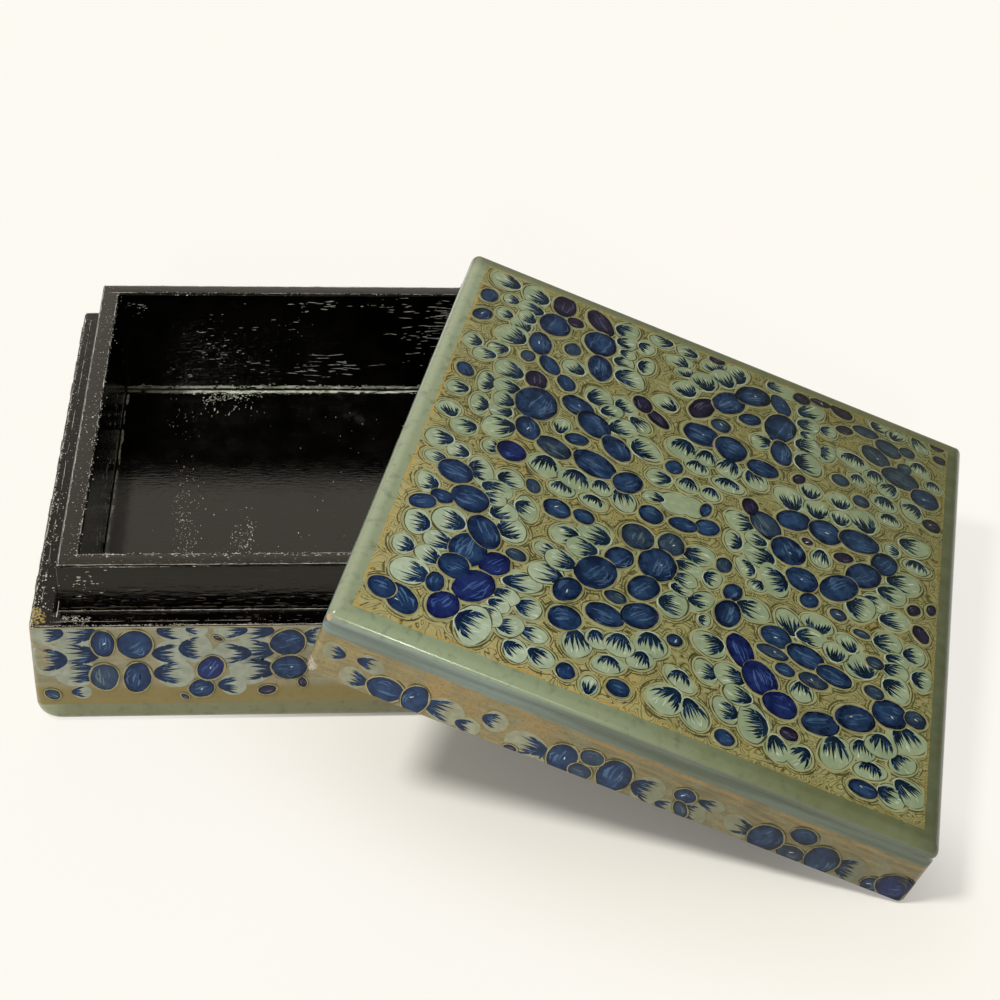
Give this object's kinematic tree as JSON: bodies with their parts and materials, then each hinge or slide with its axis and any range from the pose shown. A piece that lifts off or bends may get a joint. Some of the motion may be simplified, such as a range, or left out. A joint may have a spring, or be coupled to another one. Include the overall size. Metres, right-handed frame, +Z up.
{
  "type": "papier mache box with lift-off lid",
  "caption": "Near-square lacquered papier mache box with a raised inner collar and a lift-off lid that lies leaning on the open base, painted in the Kashmiri manner.",
  "frame": {"origin": "centre of the underside of the base", "axes": "+X to the right along the front, +Y from front to back, +Z up"},
  "size_m": [0.256, 0.2274, 0.0749],
  "materials": {
    "floral_lacquer": "satin",
    "black_lacquer": "gloss"
  },
  "bodies": {
    "base": {"base_bottom_board": "black_lacquer", "base_floor_board": "black_lacquer", "base_front_wall": "floral_lacquer", "base_right_wall": "floral_lacquer", "base_back_wall": "floral_lacquer", "base_left_wall": "floral_lacquer", "collar_front": "black_lacquer", "collar_right": "black_lacquer", "collar_back": "black_lacquer", "collar_left": "black_lacquer"},
    "lid": {"lid_top_board": "floral_lacquer", "lid_front_wall": "floral_lacquer", "lid_right_wall": "floral_lacquer", "lid_back_wall": "floral_lacquer", "lid_left_wall": "floral_lacquer"}
  },
  "joints": [
    {"name": "lid_lift", "type": "slide", "parent": "base", "child": "lid", "axis": [0, 0, 1], "range_m": [0, 0.08]}
  ]
}
